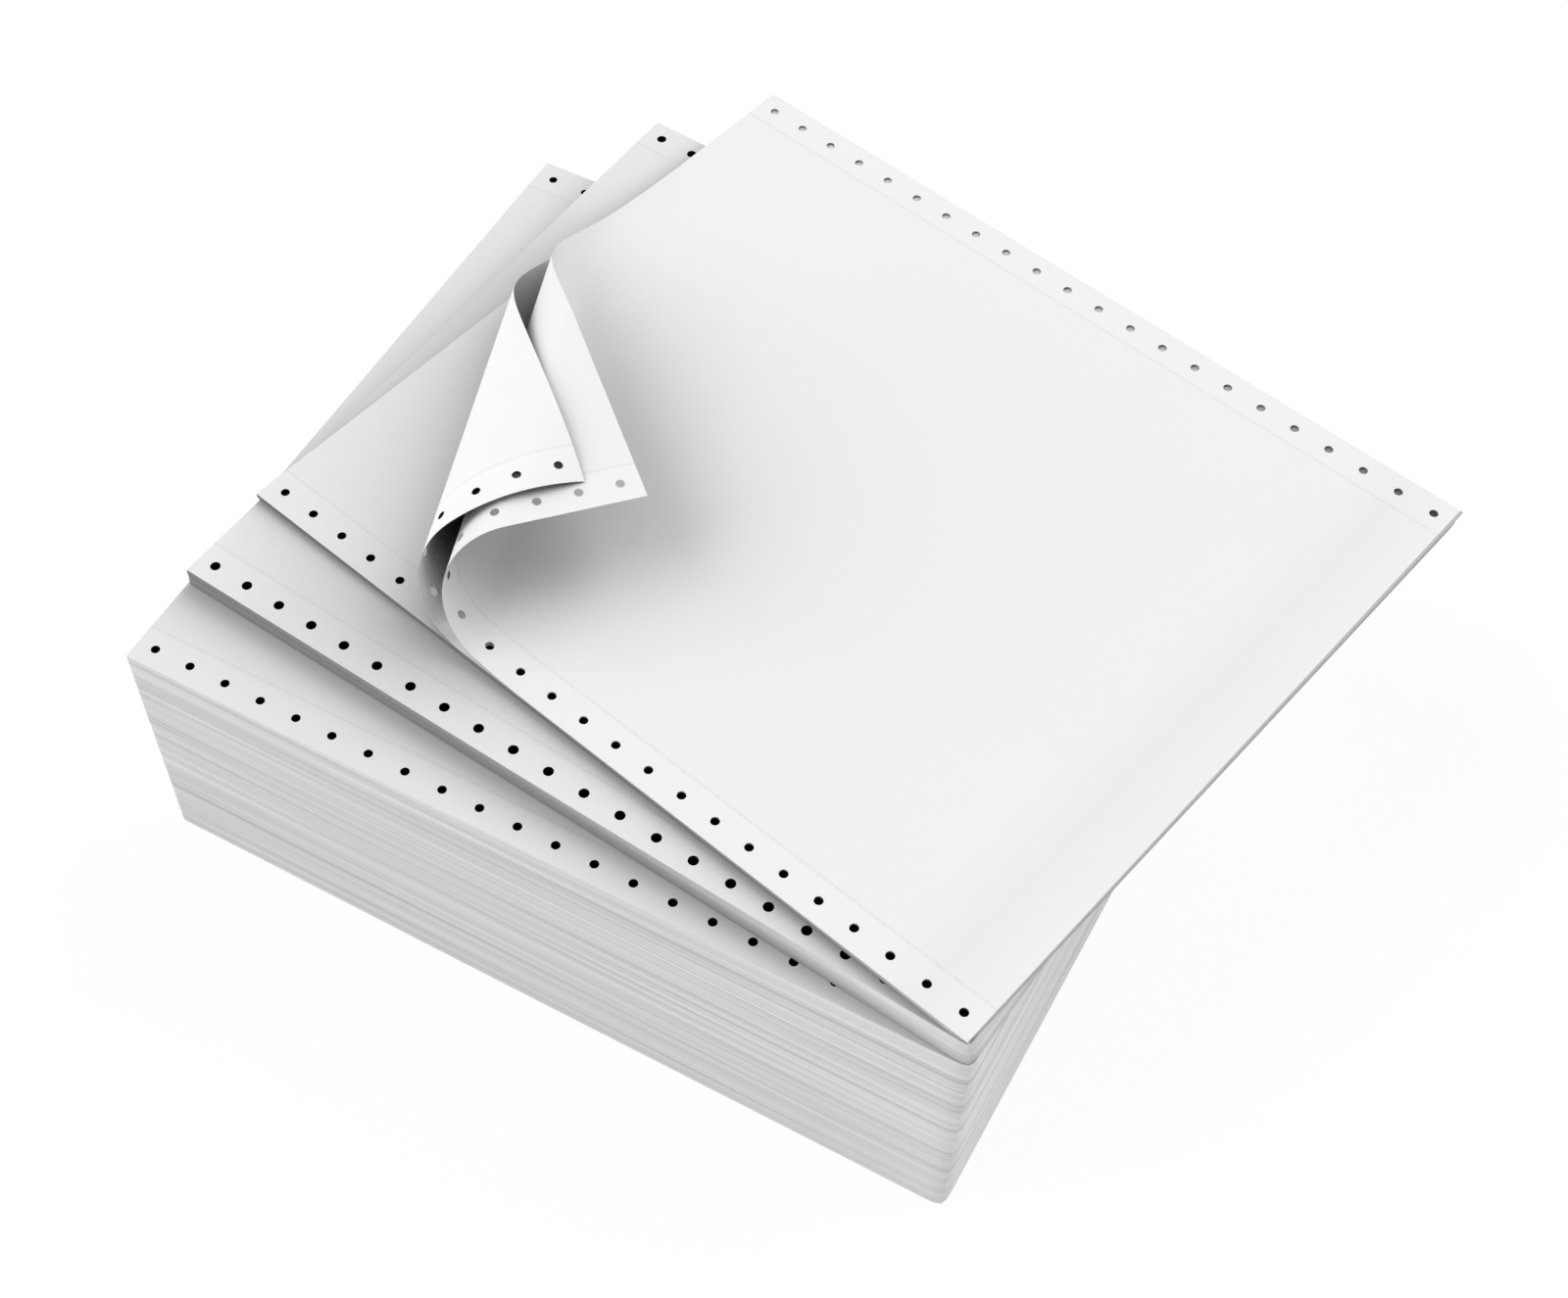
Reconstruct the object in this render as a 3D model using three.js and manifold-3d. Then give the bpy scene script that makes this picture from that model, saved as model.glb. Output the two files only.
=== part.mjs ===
// Continuous computer paper, fan-folded. A tall pack carries two thinner sheaves of the same forms and
// two single plies. Each layer lies turned a little further clockwise about its front right corner. The
// front left corners of the two plies are rolled back over themselves, the top ply's inside the other's.
// Millimetres, +Z up. The origin is the centre of the pack's underside. X runs along the front edge,
// which carries a row of feed holes, and Y runs to the back edge, which carries the other row.

import * as THREE from 'three';
import { mergeGeometries, mergeVertices } from 'three/addons/utils/BufferGeometryUtils.js';
import Module from 'manifold-3d';

// The form: one page of the strip, between two folds
const form_length = 279.4; // from fold to fold, along X
const form_width = 241.3; // across both hole strips, along Y

// Feed holes
const hole_pitch = 12.7;
const hole_inset = 6.35; // from a hole's centre to the front or back edge
const hole_diameter = 3.2;
const hole_sides = 10;

// Layers, from the bottom up
const pack_height = 92.7;
const turned_sheaf_height = 6.9;
const loose_sheaf_height = 2;
const ply_thickness = 0.25;
const air_gap = 0.1; // between one layer and the next

// Leaf edges on the sides of a pack or sheaf
const leaf_group_height = 2.9; // mean height of the leaves that share one edge line
const leaf_scatter = 0.45; // the most that such a group stands back from the outline
const leaf_corner_radius = 2;
const leaf_corner_steps = 2;

// How the layers are fanned: turns about the front right corner, and that corner's shift
const turned_sheaf_turn = 6.3;
const turned_sheaf_shift = { x: -0.9, y: 0.6 };
const ply_turn = 12.85;
const ply_shift = { x: -3.6, y: 2.7 };

// Rolled corners. Distances run from the front left corner, square to the rolls' common axis.
const roll_axis_angle = 59.5; // between that axis and the front edge
const facet_angle = 9; // of turn, between two facets of a roll

const inner_roll_start = 100.6; // where the top ply leaves the ply below
const inner_lift_radius = 100; // it rises on this wide arc first
const inner_lift_turn = 10;
const inner_roll_radius = 15.15;
const inner_roll_turn = 185; // in all, up to its straight flap

const outer_roll_lead = 23.1; // how much nearer the corner the middle ply leaves the sheaf
const outer_roll_turn = 150.5; // up to its arched flap
const outer_tip_turn = 204; // in all, up to the flap's tip
const flap_gap = 0.2; // between the outer flap's tip and the inner flap

const paper_colour = 0xefefef;
const shaded_edge_colour = 0xdcdcdc;
const paper_roughness = 0.85;

const { cos, sin } = Math;
const radians = THREE.MathUtils.degToRad;
const wasm = await Module();
wasm.setup();

// A closed three.js geometry as a solid that can be cut and joined
function solidFrom(geometry) {
  const bare = geometry.clone();
  bare.deleteAttribute('normal');
  bare.deleteAttribute('uv');
  const merged = mergeVertices(bare);
  const vertProperties = Float32Array.from(merged.attributes.position.array);
  const triVerts = Uint32Array.from(merged.index.array);
  return new wasm.Manifold(new wasm.Mesh({ numProp: 3, vertProperties, triVerts }));
}

function geometryFrom(solid) {
  const mesh = solid.getMesh();
  const geometry = new THREE.BufferGeometry();
  geometry.setAttribute('position', new THREE.BufferAttribute(mesh.vertProperties, 3));
  geometry.setIndex(new THREE.BufferAttribute(mesh.triVerts, 1));
  geometry.computeVertexNormals();
  return geometry;
}

// Centres of the feed holes of one form, whose front left corner is at (0, 0). Both rows are centred
// between the folds, so each fold falls halfway between two holes of the strip.
function holeCentres() {
  const count = Math.floor(form_length / hole_pitch);
  const first = (form_length - (count - 1) * hole_pitch) / 2;
  const centres = [];
  for (let i = 0; i < count; i += 1) {
    const x = first + i * hole_pitch;
    centres.push({ x, y: hole_inset });
    centres.push({ x, y: form_width - hole_inset });
  }
  return centres;
}

// One drill for a feed hole, centred on the origin with its axis along Z
function holeDrill(depth) {
  const drill = new THREE.CylinderGeometry(hole_diameter / 2, hole_diameter / 2, depth, hole_sides);
  return drill.rotateX(Math.PI / 2);
}

// A pack of leaves: a column of slabs with rounded corners, one for each group of leaves that shares an
// edge line. Each side of each slab stands back by its own share of leaf_scatter, from a golden-ratio
// sequence. The two rows of feed holes run straight down through all of them.
function leafPack(height) {
  const golden_step = 0.618034;
  const height_step = 0.754878;
  const side_step = 0.381966;
  const share = (value) => value - Math.floor(value);
  const count = Math.max(1, Math.round(height / leaf_group_height));
  const weights = Array.from({ length: count }, (_, i) => 0.6 + 0.8 * share((i + 1) * height_step));
  const total = weights.reduce((sum, weight) => sum + weight, 0);
  let bottom = 0;
  let pack = null;
  weights.forEach((weight, i) => {
    const back_off = [0, 1, 2, 3].map((side) => leaf_scatter * share(i * golden_step + side * side_step));
    const top = i === count - 1 ? height : bottom + (height * weight) / total;
    const low = { x: back_off[0], y: back_off[1] };
    const high = { x: form_length - back_off[2], y: form_width - back_off[3] };
    const solid = solidFrom(leafSlab(leafOutline(low, high), bottom, top));
    pack = pack ? pack.add(solid) : solid;
    bottom = top;
  });
  const drills = holeCentres().map(({ x, y }) => holeDrill(2 * height).translate(x, y, height / 2));
  return geometryFrom(pack.subtract(solidFrom(mergeGeometries(drills))));
}

// One slab between two heights. They are written into its points as they are, so that the top of one
// slab and the bottom of the next are the same 32-bit numbers and the two join.
function leafSlab(outline, bottom, top) {
  const options = { depth: 1, bevelEnabled: false, curveSegments: leaf_corner_steps };
  const slab = new THREE.ExtrudeGeometry(outline, options);
  const points = slab.attributes.position;
  for (let i = 0; i < points.count; i += 1) points.setZ(i, points.getZ(i) > 0.5 ? top : bottom);
  return slab;
}

function leafOutline(low, high) {
  const radius = leaf_corner_radius;
  const outline = new THREE.Shape();
  outline.moveTo(low.x + radius, low.y);
  outline.lineTo(high.x - radius, low.y);
  outline.absarc(high.x - radius, low.y + radius, radius, -Math.PI / 2, 0);
  outline.lineTo(high.x, high.y - radius);
  outline.absarc(high.x - radius, high.y - radius, radius, 0, Math.PI / 2);
  outline.lineTo(low.x + radius, high.y);
  outline.absarc(low.x + radius, high.y - radius, radius, Math.PI / 2, Math.PI);
  outline.lineTo(low.x, low.y + radius);
  outline.absarc(low.x + radius, low.y + radius, radius, Math.PI, 1.5 * Math.PI);
  return outline;
}

// Section of a rolled ply, square to the roll's axis, at a length of paper past the roll's start.
// advance is the way covered towards the corner, rise the height gained, turn the angle turned through.
// Past its last arc the ply runs straight.
function sectionAt(arcs, length) {
  let advance = 0;
  let rise = 0;
  let turn = 0;
  let left = length;
  for (const arc of arcs) {
    const used = Math.min(left, arc.radius * arc.turn);
    const next = turn + used / arc.radius;
    advance += arc.radius * (sin(next) - sin(turn));
    rise += arc.radius * (cos(turn) - cos(next));
    turn = next;
    left -= used;
  }
  return { advance: advance + left * cos(turn), rise: rise + left * sin(turn), turn };
}

const inner_arcs = [
  { radius: inner_lift_radius, turn: radians(inner_lift_turn) },
  { radius: inner_roll_radius, turn: radians(inner_roll_turn - inner_lift_turn) },
];

const outer_roll_start = inner_roll_start - outer_roll_lead;

// The outer flap's arch uses up the paper that the roll leaves
function outerArcs(roll_radius) {
  const roll_turn = radians(outer_roll_turn);
  const flap_turn = radians(outer_tip_turn) - roll_turn;
  const flap_radius = (outer_roll_start - roll_radius * roll_turn) / flap_turn;
  return [
    { radius: roll_radius, turn: roll_turn },
    { radius: flap_radius, turn: flap_turn },
  ];
}

// Height of the outer flap's tip over the inner flap, between the middles of the two plies
function tipHeight(roll_radius) {
  const inner = sectionAt(inner_arcs, inner_roll_start);
  const outer = sectionAt(outerArcs(roll_radius), outer_roll_start);
  const across = outer_roll_start - outer.advance - (inner_roll_start - inner.advance);
  const up = outer.rise - (inner.rise + ply_thickness + air_gap);
  return -across * sin(inner.turn) - up * cos(inner.turn);
}

// The tip's height grows in proportion to the roll's radius, so the heights at two trial radii give
// the radius that lays the tip on the inner flap
function seatedRollRadius() {
  const trial = inner_roll_radius;
  const per_mm = tipHeight(trial + 1) - tipHeight(trial);
  return trial + (ply_thickness + flap_gap - tipHeight(trial)) / per_mm;
}

const across_axis = { x: sin(radians(roll_axis_angle)), y: cos(radians(roll_axis_angle)) };
const along_axis = { x: across_axis.y, y: -across_axis.x };

// A point of the flat form carried onto the rolled ply, offset from the ply's middle along its normal
function rolledPoint(curl, flat, offset) {
  const distance = flat.x * across_axis.x + flat.y * across_axis.y;
  const along = flat.x * along_axis.x + flat.y * along_axis.y;
  const section = sectionAt(curl.arcs, Math.max(0, curl.start - distance));
  const across = Math.max(distance, curl.start) - section.advance + offset * sin(section.turn);
  return new THREE.Vector3(
    along * along_axis.x + across * across_axis.x,
    along * along_axis.y + across * across_axis.y,
    ply_thickness / 2 + section.rise + offset * cos(section.turn),
  );
}

// Distances from the front left corner at which a line along the roll's axis crosses the form: the
// form's own corners, and every facet edge of the roll
function stations(curl) {
  const left_corner = form_width * across_axis.y;
  const right_corner = form_length * across_axis.x;
  const found = [0, left_corner, right_corner, left_corner + right_corner, curl.start];
  let reached = curl.start;
  for (const arc of curl.arcs) {
    const length = arc.radius * arc.turn;
    const steps = Math.ceil(arc.turn / radians(facet_angle));
    for (let i = 1; i <= steps; i += 1) found.push(reached - (length * i) / steps);
    reached -= length;
  }
  const apart = 1e-3;
  const sorted = found.filter((distance) => distance >= 0).sort((a, b) => a - b);
  return sorted.filter((distance, i) => i === 0 || distance - sorted[i - 1] > apart);
}

// Where the line at such a distance meets the form's front or right edge, and its left or back edge
function lineEnds(distance) {
  const front = distance / across_axis.x;
  const left = distance / across_axis.y;
  const past_right = (distance - form_length * across_axis.x) / across_axis.y;
  const past_back = (distance - form_width * across_axis.y) / across_axis.x;
  return [
    past_right > 0 ? { x: form_length, y: past_right } : { x: front, y: 0 },
    past_back > 0 ? { x: past_back, y: form_width } : { x: 0, y: left },
  ];
}

// A single ply with its front left corner rolled back. Between two stations lies one flat facet: its
// upper and lower faces, and a strip of edge at each end. The ply's two far corners are single points.
function rolledPly(curl) {
  const lines = stations(curl);
  const positions = [];
  const faces = [];
  for (const distance of lines) {
    for (const end of lineEnds(distance)) {
      for (const offset of [ply_thickness / 2, -ply_thickness / 2]) {
        positions.push(...rolledPoint(curl, end, offset).toArray());
      }
    }
  }
  const face = (a, b, c, d) => faces.push(a, b, c, a, c, d);
  const lineCorners = (i) => {
    const first = 4 * i;
    return { front_top: first, front_low: first + 1, back_top: first + 2, back_low: first + 3 };
  };
  for (let i = 0; i + 1 < lines.length; i += 1) {
    const [here, next] = [i, i + 1].map(lineCorners);
    face(here.front_top, next.front_top, next.back_top, here.back_top);
    face(here.front_low, here.back_low, next.back_low, next.front_low);
    face(here.front_low, next.front_low, next.front_top, here.front_top);
    face(next.back_low, here.back_low, here.back_top, next.back_top);
  }
  const sheet = new THREE.BufferGeometry();
  sheet.setAttribute('position', new THREE.Float32BufferAttribute(positions, 3));
  sheet.setIndex(faces);
  const drills = holeCentres().map((centre) => plyDrill(curl, centre));
  return geometryFrom(solidFrom(closedFaces(sheet)).subtract(solidFrom(mergeGeometries(drills))));
}

// The same surface without the faces that shrink to a line at the form's two end corners
function closedFaces(sheet) {
  const merged = mergeVertices(sheet);
  const corners = merged.index.array;
  const kept = [];
  for (let i = 0; i < corners.length; i += 3) {
    const [a, b, c] = corners.slice(i, i + 3);
    if (a !== b && b !== c && c !== a) kept.push(a, b, c);
  }
  merged.setIndex(kept);
  return merged;
}

// A drill through the rolled ply at a hole's centre, along the ply's own normal there
function plyDrill(curl, centre) {
  const depth = 12 * ply_thickness;
  const middle = rolledPoint(curl, centre, 0);
  const normal = rolledPoint(curl, centre, 1).sub(middle);
  const stand = new THREE.Quaternion().setFromUnitVectors(new THREE.Vector3(0, 0, 1), normal);
  return holeDrill(depth).applyQuaternion(stand).translate(middle.x, middle.y, middle.z);
}

// A layer's mesh, with its front right corner at the origin
function paper(name, geometry, color) {
  const material = new THREE.MeshStandardMaterial({ color, roughness: paper_roughness, metalness: 0 });
  const mesh = new THREE.Mesh(geometry, material);
  mesh.name = name;
  mesh.position.set(-form_length, 0, 0);
  return mesh;
}

// A layer hangs in a group at its front right corner, which carries the fan's turn and shift
function layer(mesh, height, turn, shift) {
  const fan = new THREE.Group();
  fan.position.set(form_length / 2 + shift.x, -form_width / 2 + shift.y, height);
  fan.rotation.z = -radians(turn);
  fan.add(mesh);
  return fan;
}

const turned_sheaf_base = pack_height + air_gap;
const loose_sheaf_base = turned_sheaf_base + turned_sheaf_height + air_gap;
const middle_ply_base = loose_sheaf_base + loose_sheaf_height + air_gap;
const top_ply_base = middle_ply_base + ply_thickness + air_gap;

const pack = paper('pack', leafPack(pack_height), shaded_edge_colour);
const turned_sheaf = paper('turned_sheaf', leafPack(turned_sheaf_height), shaded_edge_colour);
const loose_sheaf = paper('loose_sheaf', leafPack(loose_sheaf_height), shaded_edge_colour);
const outer_curl = { start: outer_roll_start, arcs: outerArcs(seatedRollRadius()) };
const inner_curl = { start: inner_roll_start, arcs: inner_arcs };
const middle_ply = paper('middle_ply', rolledPly(outer_curl), paper_colour);
const top_ply = paper('top_ply', rolledPly(inner_curl), paper_colour);

const group = new THREE.Group();
group.add(layer(pack, 0, 0, { x: 0, y: 0 }));
group.add(layer(turned_sheaf, turned_sheaf_base, turned_sheaf_turn, turned_sheaf_shift));
group.add(layer(loose_sheaf, loose_sheaf_base, ply_turn, ply_shift));
group.add(layer(middle_ply, middle_ply_base, ply_turn, ply_shift));
group.add(layer(top_ply, top_ply_base, ply_turn, ply_shift));

export default group;
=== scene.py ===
"""The looks of a fan-folded pack of computer paper, with two sheaves and two plies fanned on top of it.

All lengths are in metres. The flat form has its front left corner at (0, 0): s runs along the front edge
and t to the back edge. Each layer lies turned about the form's front right corner.
"""

import math

import bpy
import numpy as np
from mathutils import Matrix, Vector


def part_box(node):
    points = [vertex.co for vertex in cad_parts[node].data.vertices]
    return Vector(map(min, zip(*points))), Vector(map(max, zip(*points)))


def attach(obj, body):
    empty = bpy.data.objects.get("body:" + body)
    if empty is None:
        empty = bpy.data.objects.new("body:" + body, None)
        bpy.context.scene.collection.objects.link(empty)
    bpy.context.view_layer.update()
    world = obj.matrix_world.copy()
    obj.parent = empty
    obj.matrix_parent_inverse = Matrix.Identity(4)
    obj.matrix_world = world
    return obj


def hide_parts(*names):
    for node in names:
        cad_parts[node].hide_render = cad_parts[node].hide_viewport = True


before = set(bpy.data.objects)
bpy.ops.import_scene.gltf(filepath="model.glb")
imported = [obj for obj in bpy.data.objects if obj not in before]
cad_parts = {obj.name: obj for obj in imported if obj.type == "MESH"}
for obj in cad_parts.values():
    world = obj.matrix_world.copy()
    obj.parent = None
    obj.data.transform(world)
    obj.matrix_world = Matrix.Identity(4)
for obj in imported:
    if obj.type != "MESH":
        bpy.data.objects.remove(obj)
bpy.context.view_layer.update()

# The form and its feed holes
CELL = 0.0127  # one hole pitch, also the width of a hole strip
CELLS_ALONG = 22
CELLS_ACROSS = 19
FORM_LENGTH = CELLS_ALONG * CELL
FORM_WIDTH = CELLS_ACROSS * CELL
HOLE_RADIUS = 0.00142
SHEAF_HOLE_RADIUS = 0.00162

# The fan: each layer's turn about the front right corner, and that corner's shift
SHEAF_TURN = math.radians(6.3)
SHEAF_SHIFT = (-0.0009, 0.0006)
PLY_TURN = math.radians(12.85)
PLY_SHIFT = (-0.0036, 0.0027)

# The rolled corners. Starts are measured from the front left corner, square to the rolls' axis.
ROLL_AXIS_ANGLE = math.radians(59.5)
INNER_START = 0.1006
INNER_LIFT_RADIUS = 0.100
INNER_LIFT_TURN = math.radians(10)
INNER_ROLL_RADIUS = 0.01515
INNER_TURN = math.radians(185)
OUTER_START = INNER_START - 0.0231
OUTER_ROLL_TURN = math.radians(150.5)
OUTER_TIP_TURN = math.radians(204)
FLAP_GAP = 0.0002
PLY_SOLID = 0.00025  # the ply's thickness in the model of the solids
PLY_SHEET = 0.00016  # the thickness shown
AIR_GAP = 0.0001

# Leaf edges
LEAF_PITCH = 0.0006  # height of one row of edges
LEAF_SCATTER = 0.00026
LEAF_SWAY_LENGTH = 0.21  # one wave of a leaf edge's slow sway
CORNER_PULL = 0.0009  # how much further a corner's point stands in than its neighbours
LEFT_FULLNESS = 0.06  # share of the crown and the corner pull that is left at the left end
SHADE_FLOOR_INSET = 0.0001  # from a hole's floor of painted shade to the form beside it

# Paper and shade
WHITE = 0.86  # the sheets' own reflectance
SHELTER_REACH = 0.07  # how far off other paper still shades a spot
CUT_PITCH = 0.0021  # of the tear-off line's cuts
CUT_HALF_WIDTH = 0.0007
RIM_AT_FRONT = 0.0002  # width of the painted shade rim at the right edge's fold, at the front
RIM_GROWTH = 0.0032  # and how much wider it gets for each metre to the back
BAND_INSET = 0.018  # from that edge to the middle of the soft band of painted shade inside it
BAND_HALF_WIDTH = 0.017


def noise_rows(seed, count, columns):
    """A table of even random numbers from 0 to 1, the same each time."""
    return np.random.default_rng(seed).random((count, columns))


def fan_place(points, turn, shift, base):
    """Lay flat-form points on their layer: turn about the front right corner, shift it, and lift to base.

    The pack's own centre is the origin, so the corner starts at half the form's length and minus half
    its width.
    """
    x = points[:, 0] - FORM_LENGTH
    y = points[:, 1]
    placed = np.empty_like(points)
    placed[:, 0] = math.cos(turn) * x + math.sin(turn) * y + FORM_LENGTH / 2 + shift[0]
    placed[:, 1] = -math.sin(turn) * x + math.cos(turn) * y - FORM_WIDTH / 2 + shift[1]
    placed[:, 2] = points[:, 2] + base
    return placed


def border_steps(n):
    """Column and row steps of the 4n points round a square cell of n by n, anticlockwise."""
    run = np.arange(n)
    zero = np.zeros(n, int)
    columns = np.concatenate([run, zero + n, n - run, zero])
    rows = np.concatenate([zero, run, zero + n, n - run])
    return columns, rows


def form_grid(n, rings, solid_middle, hole_radius=HOLE_RADIUS):
    """The flat form as points and faces, with a round hole in each cell of its two strips.

    Points lie on a lattice of n steps a cell. In a strip's cell, rings of quads blend from the cell's
    square border to the hole's circle: a ring's point is circle + share * (border - circle). The middle
    between the strips is a lattice of quads, or one many-sided face when solid_middle is set.
    Returns points (s, t), quads, the middle face or None, the outline's ids and the holes' rim ids.
    """
    across = CELLS_ALONG * n + 1
    up = CELLS_ACROSS * n + 1
    step = CELL / n
    column, row = np.meshgrid(np.arange(across), np.arange(up))
    lattice = np.stack([column.ravel() * step, row.ravel() * step], 1)

    cell_x, cell_y = np.meshgrid(np.arange(CELLS_ALONG), [0, CELLS_ACROSS - 1])
    cell_x, cell_y = cell_x.ravel(), cell_y.ravel()
    step_x, step_y = border_steps(n)
    border = (cell_y[:, None] * n + step_y) * across + cell_x[:, None] * n + step_x
    centres = np.stack([(cell_x + 0.5) * CELL, (cell_y + 0.5) * CELL], 1)
    angles = math.radians(225) + 2 * math.pi * np.arange(4 * n) / (4 * n)
    circle = centres[:, None] + hole_radius * np.stack([np.cos(angles), np.sin(angles)], 1)
    shares = (np.arange(rings) / rings)[:, None, None]
    ring_points = circle[:, None] + shares * (lattice[border] - circle)[:, None]

    first = len(lattice)
    ring_ids = first + np.arange(len(cell_x) * rings * 4 * n).reshape(len(cell_x), rings, 4 * n)
    loops = np.concatenate([ring_ids, border[:, None]], 1)
    turned = np.roll(loops, -1, axis=2)
    strip_quads = np.stack([loops[:, 1:], turned[:, 1:], turned[:, :-1], loops[:, :-1]], -1).reshape(-1, 4)

    points = np.concatenate([lattice, ring_points.reshape(-1, 2)])
    ids = np.arange(across * up).reshape(up, across)
    middle = ids[n : up - n]
    if solid_middle:
        edge = [middle[0, :-1], middle[:-1, -1], middle[-1, :0:-1], middle[:0:-1, 0]]
        middle_face = np.concatenate(edge)
        quads = strip_quads
    else:
        middle_face = None
        corners = [middle[:-1, :-1], middle[:-1, 1:], middle[1:, 1:], middle[1:, :-1]]
        quads = np.concatenate([np.stack(corners, -1).reshape(-1, 4), strip_quads])
    outline = np.concatenate([ids[0, :-1], ids[:-1, -1], ids[-1, :0:-1], ids[:0:-1, 0]])
    return points, quads, middle_face, outline, ring_ids[:, 0]


def make_mesh(name, points, faces, materials, slots, smooth, place=None, ridge=None):
    """One object at the origin from points and a list of face arrays, with a material slot for each array.

    Points that no face uses are dropped. An edge between a smooth and a flat face is a crease, and
    so is one between two points of the ridge. place holds each point's spot on the flat form, kept as the
    attribute form_place.
    """
    used = np.zeros(len(points), bool)
    for group in faces:
        used[group.ravel()] = True
    renumber = np.cumsum(used) - 1
    loops = np.concatenate([renumber[group].ravel() for group in faces])
    sizes = np.concatenate([np.full(len(group), group.shape[1]) for group in faces])
    starts = np.concatenate([[0], np.cumsum(sizes)[:-1]])
    mesh = bpy.data.meshes.new(name)
    mesh.vertices.add(int(used.sum()))
    mesh.vertices.foreach_set("co", points[used].ravel())
    mesh.loops.add(len(loops))
    mesh.loops.foreach_set("vertex_index", loops.astype(np.int32))
    mesh.polygons.add(len(sizes))
    mesh.polygons.foreach_set("loop_start", starts.astype(np.int32))
    mesh.polygons.foreach_set("loop_total", sizes.astype(np.int32))
    for material in materials:
        mesh.materials.append(material)
    index = np.concatenate([np.full(len(group), slot) for group, slot in zip(faces, slots)])
    mesh.polygons.foreach_set("material_index", index.astype(np.int32))
    is_smooth = np.concatenate([np.full(len(group), soft) for group, soft in zip(faces, smooth)])
    mesh.polygons.foreach_set("use_smooth", is_smooth)
    if place is not None:
        spots = mesh.attributes.new("form_place", "FLOAT_VECTOR", "POINT")
        spots.data.foreach_set("vector", place[used].ravel())
    mesh.update(calc_edges=True)
    loop_edges = np.empty(len(loops), np.int32)
    mesh.loops.foreach_get("edge_index", loop_edges)
    soft_loops = np.repeat(is_smooth, sizes)
    has_soft = np.bincount(loop_edges[soft_loops], minlength=len(mesh.edges)) > 0
    has_hard = np.bincount(loop_edges[~soft_loops], minlength=len(mesh.edges)) > 0
    creases = mesh.attributes.new("sharp_edge", "BOOLEAN", "EDGE")
    is_crease = has_soft & has_hard
    if ridge is not None:
        ends = np.empty(2 * len(mesh.edges), np.int32)
        mesh.edges.foreach_get("vertices", ends)
        is_crease |= ridge[used][ends].reshape(-1, 2).all(1)
    creases.data.foreach_set("value", is_crease)
    piece = bpy.data.objects.new(name, mesh)
    bpy.context.scene.collection.objects.link(piece)
    return piece


def wall(upper, lower):
    """Quads between two closed loops of ids; they face outwards when the loops run anticlockwise."""
    return np.stack([lower, np.roll(lower, -1, -1), np.roll(upper, -1, -1), upper], -1).reshape(-1, 4)


def section(arcs, length):
    """A rolled ply's section, square to the roll's axis, at lengths of paper past the roll's start.

    Each arc of radius r adds r (sin b - sin a) to the advance and r (cos a - cos b) to the rise, as the
    turn goes from a to b. Past the last arc the ply runs straight.
    """
    advance = np.zeros_like(length)
    rise = np.zeros_like(length)
    turn = np.zeros_like(length)
    left = length.copy()
    for radius, arc_turn in arcs:
        used = np.minimum(left, radius * arc_turn)
        ahead = turn + used / radius
        advance += radius * (np.sin(ahead) - np.sin(turn))
        rise += radius * (np.cos(turn) - np.cos(ahead))
        turn = ahead
        left = left - used
    return advance + left * np.cos(turn), rise + left * np.sin(turn), turn


INNER_ARCS = [(INNER_LIFT_RADIUS, INNER_LIFT_TURN), (INNER_ROLL_RADIUS, INNER_TURN - INNER_LIFT_TURN)]


def outer_arcs(roll_radius):
    """The outer roll's arcs: the flap's arch uses up the paper that the roll leaves."""
    flap_turn = OUTER_TIP_TURN - OUTER_ROLL_TURN
    flap_radius = (OUTER_START - roll_radius * OUTER_ROLL_TURN) / flap_turn
    return [(roll_radius, OUTER_ROLL_TURN), (flap_radius, flap_turn)]


def tip_height(roll_radius):
    """Height of the outer flap's tip over the inner flap, square to it."""
    inner_advance, inner_rise, inner_turn = section(INNER_ARCS, np.array([INNER_START]))
    outer_advance, outer_rise, _ = section(outer_arcs(roll_radius), np.array([OUTER_START]))
    across = OUTER_START - outer_advance - (INNER_START - inner_advance)
    up = outer_rise - (inner_rise + PLY_SOLID + AIR_GAP)
    return float((-across * np.sin(inner_turn) - up * np.cos(inner_turn))[0])


def seated_radius():
    """The outer roll's radius that lays its flap's tip on the inner flap: the height is linear in it."""
    trial, step = INNER_ROLL_RADIUS, 0.001
    slope = (tip_height(trial + step) - tip_height(trial)) / step
    return trial + (PLY_SOLID + FLAP_GAP - tip_height(trial)) / slope


def rolled(flat, offset, start, arcs):
    """Carry points of the flat form onto the rolled ply, offset from its middle along its normal.

    distance is measured square to the roll's axis and along runs with it. Short of the start the point
    stays flat; past it, distance becomes start - advance + offset sin(turn), and the height becomes
    rise + offset cos(turn).
    """
    across_x, across_y = math.sin(ROLL_AXIS_ANGLE), math.cos(ROLL_AXIS_ANGLE)
    distance = flat[:, 0] * across_x + flat[:, 1] * across_y
    along = flat[:, 0] * across_y - flat[:, 1] * across_x
    advance, rise, turn = section(arcs, np.maximum(0, start - distance))
    across = np.maximum(distance, start) - advance + offset * np.sin(turn)
    height = PLY_SOLID / 2 + rise + offset * np.cos(turn)
    return np.stack([along * across_y + across * across_x, across * across_y - along * across_x, height], 1)


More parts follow.
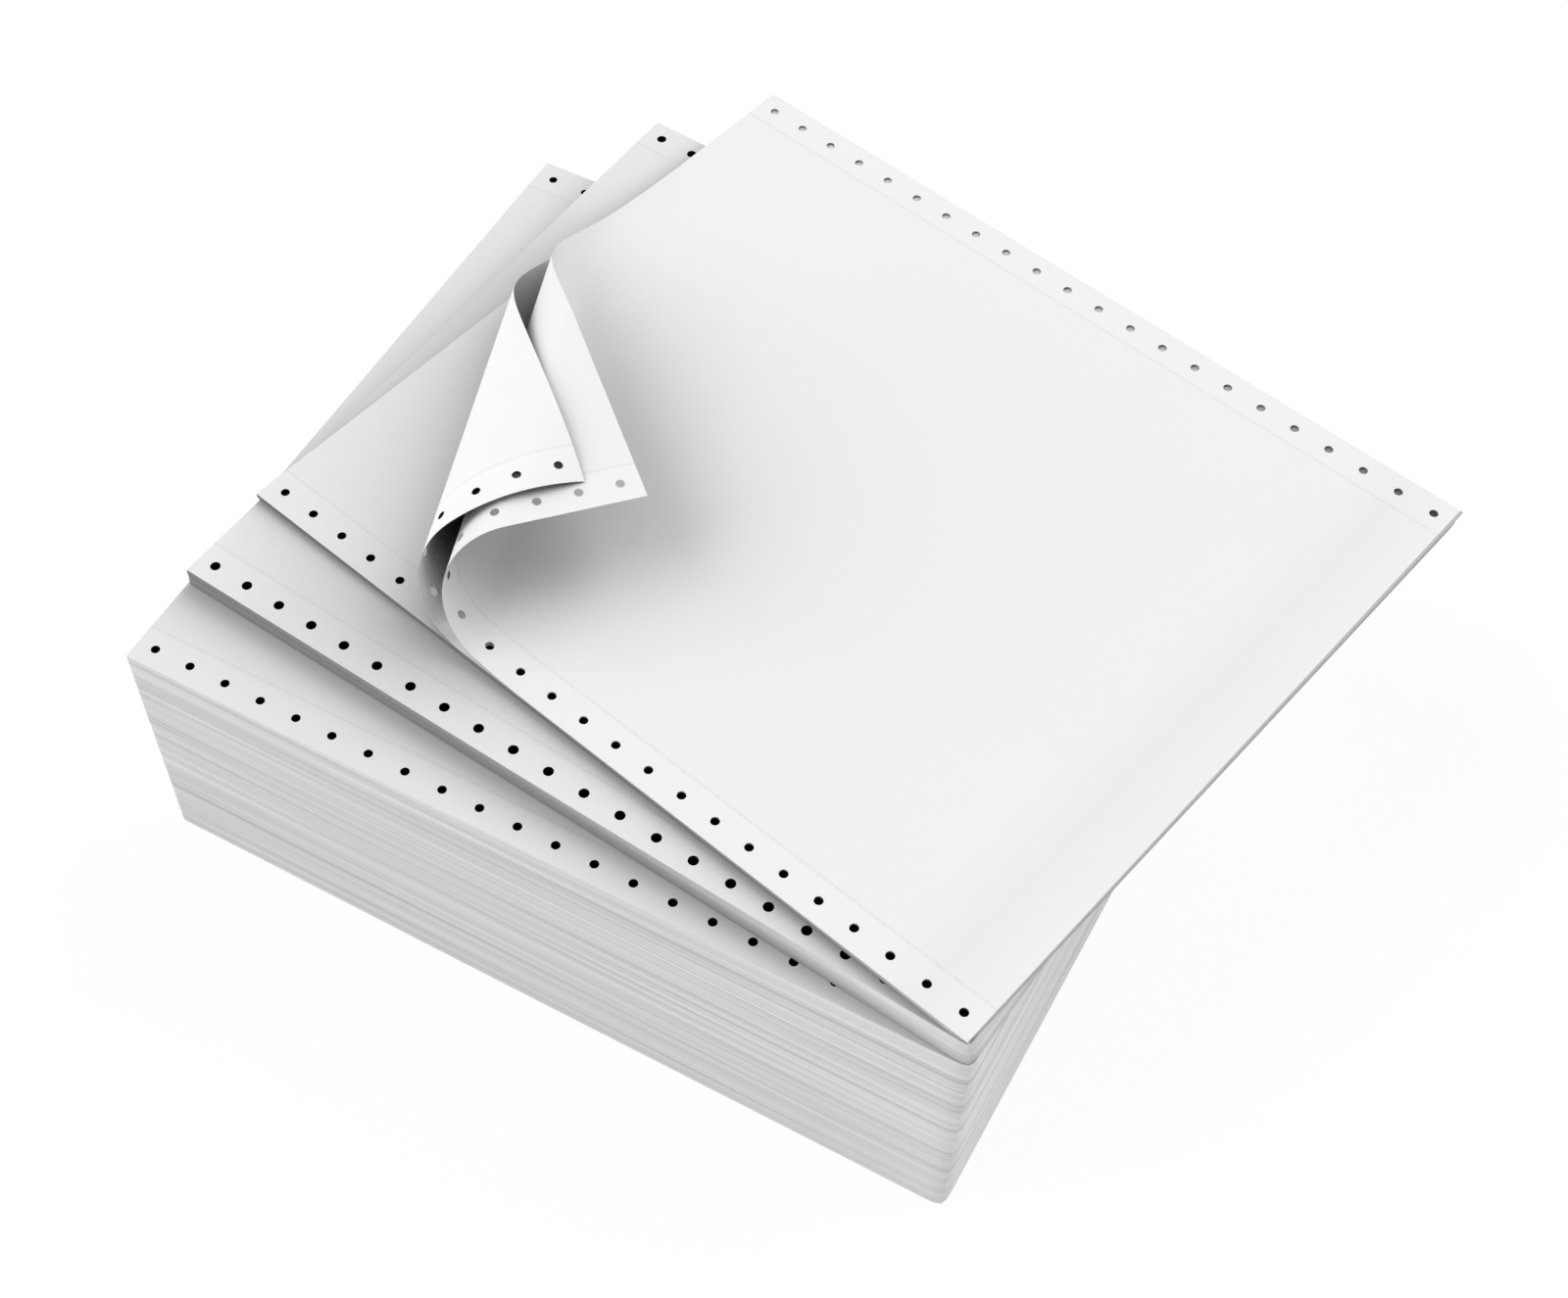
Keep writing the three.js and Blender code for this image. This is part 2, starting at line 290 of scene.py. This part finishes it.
def rolled_ply(name, start, arcs, base, materials):
    """A thin sheet with its corner rolled: the form's grid carried onto the roll twice, half a thickness
    to either side, and joined round its outline and its holes."""
    points, quads, _, outline, rims = form_grid(6, 3, False)
    upper = fan_place(rolled(points, PLY_SHEET / 2, start, arcs), PLY_TURN, PLY_SHIFT, base)
    lower = fan_place(rolled(points, -PLY_SHEET / 2, start, arcs), PLY_TURN, PLY_SHIFT, base)
    count = len(points)
    inward = rims[:, ::-1]
    faces = [quads, quads[:, ::-1] + count, wall(outline, outline + count), wall(inward, inward + count)]
    slots = [0, 0, 1, 1]
    smooth = [True, True, False, False]
    sides = np.repeat([1.0, -1.0], count)
    place = np.column_stack([np.tile(points, (2, 1)), sides])
    return make_mesh(name, np.concatenate([upper, lower]), faces, materials, slots, smooth, place)


def leaf_rows(height, pitch):
    """Heights of the rows of leaf edges, evenly spaced from the bottom to the top."""
    return np.linspace(0, height, max(2, round(height / pitch)) + 1)


def leaf_pack(name, base, height, turn, shift, seed, materials, hole_radius, crown, shade_floors=False):
    """A stack of leaves: a top and a bottom form, rows of leaf edges between them, and the hole bores.

    Each row stands back from the outline by its own random share on each of the four sides, and sways
    along the side by a slow sine. A corner's point stands in further than the points beside it, by its
    pull, which rounds the corner.

    The crown is how far the topmost leaves draw in and the height over which they do so, at the right
    end: in * (1 - sqrt(1 - u * u)), with u from 0 to 1 up that height. The crown and the pull shrink
    towards the left end, with the cube of the share of the form's length.

    With the last argument set, the holes end on floors of painted shade: the front strip's on a dark floor
    near the bottom form, and the back strip's on a grey floor near the top.
    """
    points, quads, middle, outline, rims = form_grid(4, 1, True, hole_radius)
    count = len(points)
    rows = leaf_rows(height, LEAF_PITCH)
    ring = points[outline]
    normals = np.zeros_like(ring)
    normals[:, 0] = np.isclose(ring[:, 0], 0) * 1.0 - np.isclose(ring[:, 0], FORM_LENGTH)
    normals[:, 1] = np.isclose(ring[:, 1], 0) * 1.0 - np.isclose(ring[:, 1], FORM_WIDTH)
    is_corner = np.abs(normals).sum(1) > 1.5
    side = np.select([normals[:, 1] > 0, normals[:, 0] < 0, normals[:, 1] < 0], [0, 1, 2], 3)
    table = noise_rows(seed, len(rows), 12)
    share = table[:, :4][:, side]
    sway = 0.3 * np.sin(2 * math.pi * (ring.sum(1) / LEAF_SWAY_LENGTH + table[:, 4:8][:, side]))
    uneven = np.clip(0.15 + 0.7 * share + sway * table[:, 8:12][:, side], 0, 1.2)
    back = min(LEAF_SCATTER, height / 20) * uneven
    fullness = LEFT_FULLNESS + (1 - LEFT_FULLNESS) * (ring[:, 0] / FORM_LENGTH) ** 3
    pull = CORNER_PULL * fullness
    near_corner = (np.roll(is_corner, 1) | np.roll(is_corner, -1)) & ~is_corner
    beside = (np.roll(back, 1, 1) + np.roll(back, -1, 1)) / 2
    back[:, is_corner] = beside[:, is_corner] + pull[is_corner]
    back[:, near_corner] += 0.2 * pull[near_corner]
    climb = (rows[:, None] - height) / (crown[1] * fullness) + 1
    back += crown[0] * fullness * (1 - np.sqrt(1 - np.clip(climb, 0, 1) ** 2))
    edge = np.empty((len(rows), len(ring), 3))
    edge[..., :2] = ring + back[..., None] * normals
    edge[..., 2] = rows[:, None]

    flat = np.column_stack([points, np.zeros(count)])
    top = flat + [0, 0, height]
    top[outline, :2] = edge[-1, :, :2]
    low = flat.copy()
    low[outline, :2] = edge[0, :, :2]
    inner_rows = edge[1:-1].reshape(-1, 3)
    every = [top, low, inner_rows]
    ids = 2 * count + np.arange(len(inner_rows)).reshape(-1, len(ring))
    ids = np.concatenate([outline[None] + count, ids, outline[None]])
    walls = np.concatenate([wall(ids[k + 1], ids[k]) for k in range(len(ids) - 1)])
    bores = wall(rims[:, ::-1], rims[:, ::-1] + count)
    faces = [quads, middle[None], quads[:, ::-1] + count, middle[None, ::-1] + count, walls, bores]
    slots = [0, 0, 0, 0, 1, 2]
    smooth = [False, False, False, False, True, False]
    # Floors of painted shade in the holes: dark in the front strip, grey in the back strip.
    if shade_floors:
        depths = np.where(np.arange(len(rims)) < CELLS_ALONG, SHADE_FLOOR_INSET, height - SHADE_FLOOR_INSET)
        floor_ids = 2 * count + len(inner_rows) + np.arange(rims.size).reshape(rims.shape)
        every.append(np.column_stack([points[rims.ravel()], np.repeat(depths, rims.shape[1])]))
        faces += [floor_ids[:CELLS_ALONG], floor_ids[CELLS_ALONG:]]
        slots += [2, 3]
        smooth += [False, False]
    placed = fan_place(np.concatenate(every), turn, shift, base)
    spots = np.concatenate(every)
    spots[:, 2] = 1.0
    ridge = np.zeros(len(spots), bool)
    ridge[ids[:, is_corner]] = True
    return make_mesh(name, placed, faces, materials, slots, smooth, spots, ridge)


def new_material(name, roughness):
    """A material with its output and a matt shader; returns the material, its node tree and the shader."""
    material = bpy.data.materials.new(name)
    material.use_nodes = True
    shader = material.node_tree.nodes["Principled BSDF"]
    shader.inputs["Roughness"].default_value = roughness
    shader.inputs["Specular IOR Level"].default_value = 0.25
    return material, material.node_tree, shader


def math_node(tree, operation, first, second=None, third=None):
    """A Math node on sockets or plain numbers; returns its output."""
    node = tree.nodes.new("ShaderNodeMath")
    node.operation = operation
    for slot, value in enumerate((first, second, third)):
        if value is None:
            continue
        if isinstance(value, (int, float)):
            node.inputs[slot].default_value = value
        else:
            tree.links.new(value, node.inputs[slot])
    return node.outputs[0]


def stretched_noise(tree, vector, scale, detail=3.0):
    """Noise on a vector that is first scaled by its own amount along each axis; returns its 0-1 output."""
    mapping = tree.nodes.new("ShaderNodeMapping")
    mapping.inputs["Scale"].default_value = scale
    tree.links.new(vector, mapping.inputs["Vector"])
    noise = tree.nodes.new("ShaderNodeTexNoise")
    noise.inputs["Scale"].default_value = 1.0
    noise.inputs["Detail"].default_value = detail
    tree.links.new(mapping.outputs["Vector"], noise.inputs["Vector"])
    return noise.outputs["Fac"]


def grey(tree, value):
    """A grey colour from a brightness socket."""
    combine = tree.nodes.new("ShaderNodeCombineColor")
    for channel in range(3):
        tree.links.new(value, combine.inputs[channel])
    return combine.outputs["Color"]


def shelter(tree, value, depth, soft):
    """Darken a brightness where nearby paper shelters the surface: value * (1 - c) ** depth *
    (1 - soft * sqrt(c)), with c the share of the sky that paper within SHELTER_REACH closes."""
    node = tree.nodes.new("ShaderNodeAmbientOcclusion")
    node.samples = 8 if soft == 0 else 16
    node.inputs["Distance"].default_value = SHELTER_REACH
    value = math_node(tree, "MULTIPLY", value, math_node(tree, "POWER", node.outputs["AO"], depth))
    if soft == 0:
        return value
    closed = math_node(tree, "MAXIMUM", math_node(tree, "SUBTRACT", 1.0, node.outputs["AO"]), 0.0)
    shade = math_node(tree, "MULTIPLY_ADD", math_node(tree, "SQRT", closed), -soft, 1.0)
    return math_node(tree, "MULTIPLY", value, shade)


def add_bump(tree, shader, height, distance, strength):
    """Bump from a height socket onto the shader's normal."""
    bump = tree.nodes.new("ShaderNodeBump")
    bump.inputs["Distance"].default_value = distance
    bump.inputs["Strength"].default_value = strength
    tree.links.new(height, bump.inputs["Height"])
    tree.links.new(bump.outputs["Normal"], shader.inputs["Normal"])


def line_mask(tree, value, place, half_width):
    """1 on the line where value equals place, fading to 0 at half_width to either side."""
    off = math_node(tree, "ABSOLUTE", math_node(tree, "SUBTRACT", value, place))
    faded = math_node(tree, "MINIMUM", math_node(tree, "DIVIDE", off, half_width), 1.0)
    return math_node(tree, "SUBTRACT", 1.0, faded)


def paper_material(
    name, white, underside_white, top_depth, under_depth, soft=0.0, back_depth=0.0, fold_shade=0.0
):
    """Matt white paper. Its strips are a little lighter, up to a dashed line of tear-off cuts; the sheet
    has a fine fibre grain and a faint cloudiness. white and underside_white, the two faces' tones, also
    carry painted shade and light. The depths say how much shade from nearby paper is painted into each
    face, soft how strong its broad faint painted shade is, and back_depth how much more painted shade the
    upper face gets towards the back edge. fold_shade paints the shade of the right edge's fold as a grey
    rim, which widens to the back, and paints a soft band of shade inside it, a tenth as grey."""
    material, tree, shader = new_material(name, 0.8)
    spot = tree.nodes.new("ShaderNodeAttribute")
    spot.attribute_name = "form_place"
    parts = tree.nodes.new("ShaderNodeSeparateXYZ")
    tree.links.new(spot.outputs["Vector"], parts.inputs["Vector"])
    along, across, side = parts.outputs

    from_middle = math_node(tree, "ABSOLUTE", math_node(tree, "SUBTRACT", across, FORM_WIDTH / 2))
    cut_line = FORM_WIDTH / 2 - CELL
    strip = math_node(tree, "GREATER_THAN", from_middle, cut_line)
    cuts = line_mask(tree, from_middle, cut_line, CUT_HALF_WIDTH)
    phase = math_node(tree, "FRACT", math_node(tree, "DIVIDE", along, CUT_PITCH))
    dash = math_node(tree, "LESS_THAN", phase, 0.7)
    cut_depth = math_node(tree, "MULTIPLY", cuts, math_node(tree, "MULTIPLY_ADD", dash, 0.5, 0.5))

    cloud = stretched_noise(tree, spot.outputs["Vector"], (9, 9, 9), 2.0)
    cloud = math_node(tree, "MULTIPLY_ADD", cloud, 0.02, 0.99)
    face_up = math_node(tree, "GREATER_THAN", side, 0.0)
    base = math_node(tree, "MULTIPLY_ADD", face_up, white - underside_white, underside_white)
    base = math_node(tree, "MULTIPLY", base, cloud)
    base = math_node(tree, "MULTIPLY", base, math_node(tree, "MULTIPLY_ADD", strip, 0.012, 1.0))
    base = math_node(tree, "MULTIPLY", base, math_node(tree, "MULTIPLY_ADD", cut_depth, -0.09, 1.0))
    # Painted shade of the fold at the right edge: a grey rim, and a soft darker band inside it.
    if fold_shade:
        rim_start = math_node(tree, "MULTIPLY_ADD", across, -RIM_GROWTH, FORM_LENGTH - RIM_AT_FRONT)
        rim = math_node(tree, "GREATER_THAN", along, rim_start)
        base = math_node(tree, "MULTIPLY", base, math_node(tree, "MULTIPLY_ADD", rim, -fold_shade, 1.0))
        band = line_mask(tree, along, FORM_LENGTH - BAND_INSET, BAND_HALF_WIDTH)
        band_tone = math_node(tree, "MULTIPLY_ADD", band, -fold_shade / 10, 1.0)
        base = math_node(tree, "MULTIPLY", base, band_tone)
    more_depth = math_node(tree, "MULTIPLY_ADD", across, back_depth / FORM_WIDTH, top_depth - under_depth)
    depth = math_node(tree, "MULTIPLY_ADD", face_up, more_depth, under_depth)
    base = shelter(tree, base, depth, soft)
    tree.links.new(grey(tree, base), shader.inputs["Base Color"])

    fibre = stretched_noise(tree, spot.outputs["Vector"], (2600, 2600, 1), 4.0)
    height = math_node(tree, "SUBTRACT", fibre, math_node(tree, "MULTIPLY", cut_depth, 2.0))
    add_bump(tree, shader, height, 0.00003, 0.35)
    return material


def leaf_edge_material(name, low, high, dark_end, light_end, contrast):
    """The sides of a stack: leaf edges as fine level lines, some darker and some lighter, which fade in
    and out along the side. Where dark_end is below light_end, painted shade darkens the side towards
    its left end and towards its bottom. Brightness is dark_end + (light_end - dark_end) * share. The share
    is across ** 5 / 2 + across ** 1.5 * up ** 2, at most 1: across goes from 0 at the left to 1 at the
    right, and up from 0 at the height low to 1 at high."""
    material, tree, shader = new_material(name, 0.9)
    coordinates = tree.nodes.new("ShaderNodeTexCoord")
    place = coordinates.outputs["Object"]
    parts = tree.nodes.new("ShaderNodeSeparateXYZ")
    tree.links.new(place, parts.inputs["Vector"])
    broad = stretched_noise(tree, place, (3, 3, 420), 2.0)
    fine = stretched_noise(tree, place, (8, 8, 1500), 1.0)
    gaps = stretched_noise(tree, place, (5, 5, 700), 0.0)
    gaps = math_node(tree, "MAXIMUM", math_node(tree, "SUBTRACT", gaps, 0.58), 0.0)
    lines = math_node(tree, "MULTIPLY", math_node(tree, "ADD", broad, fine), 0.5)
    lines = math_node(tree, "SUBTRACT", math_node(tree, "SUBTRACT", lines, 0.49), gaps)
    tone = math_node(tree, "MULTIPLY_ADD", lines, contrast, 1.0)
    across = math_node(tree, "MULTIPLY_ADD", parts.outputs["X"], 1 / FORM_LENGTH, 0.5)
    across = math_node(tree, "MINIMUM", math_node(tree, "MAXIMUM", across, 0.0), 1.0)
    up = math_node(tree, "DIVIDE", math_node(tree, "SUBTRACT", parts.outputs["Z"], low), high - low)
    up = math_node(tree, "POWER", math_node(tree, "MAXIMUM", up, 0.0), 2.0)
    # Painted shade: the side is darker towards its left end and towards its bottom.
    share = math_node(tree, "MULTIPLY", math_node(tree, "POWER", across, 5.0), 0.5)
    share = math_node(tree, "MULTIPLY_ADD", math_node(tree, "POWER", across, 1.5), up, share)
    share = math_node(tree, "MINIMUM", share, 1.0)
    base = math_node(tree, "MULTIPLY_ADD", share, light_end - dark_end, dark_end)
    tree.links.new(grey(tree, math_node(tree, "MULTIPLY", base, tone)), shader.inputs["Base Color"])
    add_bump(tree, shader, lines, 0.0002, 0.5)
    return material


def hole_shade_material():
    """Painted shade: a hole's bore and dark floor, painted nearly black for the shade deep in the hole."""
    material, tree, shader = new_material("hole_bore_painted_shade", 0.9)
    shader.inputs["Specular IOR Level"].default_value = 0.0
    coordinates = tree.nodes.new("ShaderNodeTexCoord")
    fleck = stretched_noise(tree, coordinates.outputs["Object"], (900, 900, 900), 2.0)
    tree.links.new(grey(tree, math_node(tree, "MULTIPLY", fleck, 0.03)), shader.inputs["Base Color"])
    return material


def hole_floor_shade_material():
    """Painted shade seen down a hole, on a floor near its top: grey, and darker towards the right end of
    the row.
    """
    material, tree, shader = new_material("hole_floor_painted_shade", 0.9)
    spot = tree.nodes.new("ShaderNodeAttribute")
    spot.attribute_name = "form_place"
    parts = tree.nodes.new("ShaderNodeSeparateXYZ")
    tree.links.new(spot.outputs["Vector"], parts.inputs["Vector"])
    share = math_node(tree, "DIVIDE", parts.outputs["X"], FORM_LENGTH)
    tone = math_node(tree, "MULTIPLY_ADD", math_node(tree, "POWER", share, 3.0), -0.76, 0.78)
    tree.links.new(grey(tree, tone), shader.inputs["Base Color"])
    return material


def seen_ray(tree):
    """1 for rays that show a surface itself, straight, in a shine or through glass; 0 for its light."""
    path = tree.nodes.new("ShaderNodeLightPath")
    seen = math_node(tree, "MAXIMUM", path.outputs["Is Camera Ray"], path.outputs["Is Glossy Ray"])
    return math_node(tree, "MAXIMUM", seen, path.outputs["Is Transmission Ray"])


def floor_material():
    """A pale matt floor. The camera sees it nearly pure white, with the pack's shadow showing faintly."""
    material, tree, shader = new_material("floor_white", 1.0)
    shader.inputs["Specular IOR Level"].default_value = 0.0
    seen = seen_ray(tree)
    tone = math_node(tree, "MULTIPLY_ADD", seen, -0.69, 0.84)
    tree.links.new(grey(tree, tone), shader.inputs["Base Color"])
    tree.links.new(math_node(tree, "MULTIPLY", seen, 0.875), shader.inputs["Emission Strength"])
    shader.inputs["Emission Color"].default_value = (1, 1, 1, 1)
    return material


def make_floor():
    """A large level square just under the pack."""
    half = 4.0
    corners = np.array([[-half, -half, 0], [half, -half, 0], [half, half, 0], [-half, half, 0]], float)
    corners[:, 2] = -0.0003
    floor = make_mesh("floor", corners, [np.array([[0, 1, 2, 3]])], [floor_material()], [0], [False])


def soft_sun(name, heading, elevation, share):
    """A broad sun that comes from a compass heading and elevation in degrees. share is the part of a
    level white sheet's brightness that it gives: share = energy * sin(elevation) / pi."""
    sun = bpy.data.lights.new(name, "SUN")
    rise = math.radians(elevation)
    sun.energy = share * math.pi / math.sin(rise)
    sun.angle = math.radians(60)
    lamp = bpy.data.objects.new(name, sun)
    bpy.context.scene.collection.objects.link(lamp)
    turn = math.radians(heading)
    towards = Vector((math.cos(turn) * math.cos(rise), math.sin(turn) * math.cos(rise), math.sin(rise)))
    lamp.rotation_euler = towards.to_track_quat("Z", "Y").to_euler()


def make_light():
    """An even sky, seen as white, and two broad soft suns, one to either side of the rolled corner."""
    world = bpy.data.worlds.new("studio")
    bpy.context.scene.world = world
    world.use_nodes = True
    tree = world.node_tree
    sky = tree.nodes["Background"]
    sky.inputs["Color"].default_value = (1, 1, 1, 1)
    strength = math_node(tree, "MULTIPLY_ADD", seen_ray(tree), 0.73, 0.27)
    tree.links.new(strength, sky.inputs["Strength"])
    soft_sun("left_light", 205, 36, 0.37)
    soft_sun("right_light", 63, 36, 0.37)


def make_camera():
    """The photograph's view: a camera above the front edge, turned to the left and looking down."""
    photo_width, photo_height = 1600, 1325
    focal_pixels = 2396.6
    optical_centre = (713.5, 773.1)
    position = Vector((0.21102, -0.39194, 0.66130))
    forward = Vector((-0.27055, 0.47587, -0.83687)).normalized()
    right = Vector((0.87172, 0.49000, -0.00319))
    right = (right - right.dot(forward) * forward).normalized()
    up = right.cross(forward)
    camera = bpy.data.cameras.new("photo_view")
    camera.sensor_width = 36
    camera.lens = camera.sensor_width * focal_pixels / photo_width
    camera.shift_x = (photo_width / 2 - optical_centre[0]) / photo_width
    camera.shift_y = (optical_centre[1] - photo_height / 2) / photo_width
    holder = bpy.data.objects.new("photo_view", camera)
    bpy.context.scene.collection.objects.link(holder)
    turn = Matrix((right, up, -forward)).transposed().to_4x4()
    holder.matrix_world = Matrix.Translation(position) @ turn
    bpy.context.scene.camera = holder


def stands_for(piece, node):
    """Tie a piece to the solid it stands for."""
    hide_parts(node)
    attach(piece, "root")


def node_height(node):
    """Lowest height and thickness of a solid, in metres."""
    low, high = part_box(node)
    return low[2], high[2] - low[2]


def flat_layer(name, node, turn, shift, seed, face, tones, crown, hole_radius=HOLE_RADIUS, shade_floors=False):
    """A pack or sheaf in place of its solid. The tones are its leaf edges' dark end, light end and
    contrast; where the ends differ, the side gets painted shade, darker to the left and towards the bottom."""
    base, height = node_height(node)
    edge = leaf_edge_material(node + "_leaf_edges", base, base + height, *tones)
    materials = [face, edge, bore, hole_floor_shade]
    piece = leaf_pack(name, base, height, turn, shift, seed, materials, hole_radius, crown, shade_floors)
    stands_for(piece, node)


bpy.context.scene.view_settings.view_transform = "Standard"
make_camera()
make_light()
make_floor()

# Painted shade: the holes' bores and their dark floors are painted nearly black.
bore = hole_shade_material()
# Painted shade: grey floors in the loose sheaf's back holes.
hole_floor_shade = hole_floor_shade_material()
# Painted shade and light in the faces' tones: the pack's and the sheaves' tops are set darker than WHITE as
# painted shade; the top ply's underside and the middle ply are set lighter as painted light.
pack_face = paper_material("pack_paper", WHITE - 0.04, WHITE, 0.45, 0.5, soft=0.25)
turned_face = paper_material("turned_sheaf_paper", WHITE - 0.045, WHITE, 0.0, 0.5, soft=0.72)
loose_face = paper_material("loose_sheaf_paper", WHITE - 0.02, WHITE, 0.62, 0.5, soft=0.18)
top_face = paper_material("top_ply_paper", WHITE + 0.005, 0.9, 0.34, 0.08, fold_shade=0.42)
middle_face = paper_material("middle_ply_paper", 0.92, 0.92, 0.0, 0.08, back_depth=1.3)
ply_edge = leaf_edge_material("ply_edges", 0.09, 0.14, 0.6, 0.6, 0.1)

flat_layer("pack_leaves", "pack", 0.0, (0.0, 0.0), 11, pack_face, (0.85, 0.85, 0.9), (0.0006, 0.002))
# The sheaves' sides carry painted shade: dark at the left end and towards the bottom, lighter to the right.
flat_layer(
    "turned_sheaf_leaves",
    "turned_sheaf",
    SHEAF_TURN,
    SHEAF_SHIFT,
    23,
    turned_face,
    (0.29, 0.88, 0.8),
    (0.0024, 0.0055),
    SHEAF_HOLE_RADIUS,
)
flat_layer(
    "loose_sheaf_leaves",
    "loose_sheaf",
    PLY_TURN,
    PLY_SHIFT,
    37,
    loose_face,
    (0.22, 0.62, 0.5),
    (0.0001, 0.0004),
    shade_floors=True,
)

ply_base, _ = node_height("middle_ply")
middle = rolled_ply(
    "middle_ply_sheet", OUTER_START, outer_arcs(seated_radius()), ply_base, [middle_face, ply_edge]
)
stands_for(middle, "middle_ply")
ply_base, _ = node_height("top_ply")
top = rolled_ply("top_ply_sheet", INNER_START, INNER_ARCS, ply_base, [top_face, ply_edge])
stands_for(top, "top_ply")
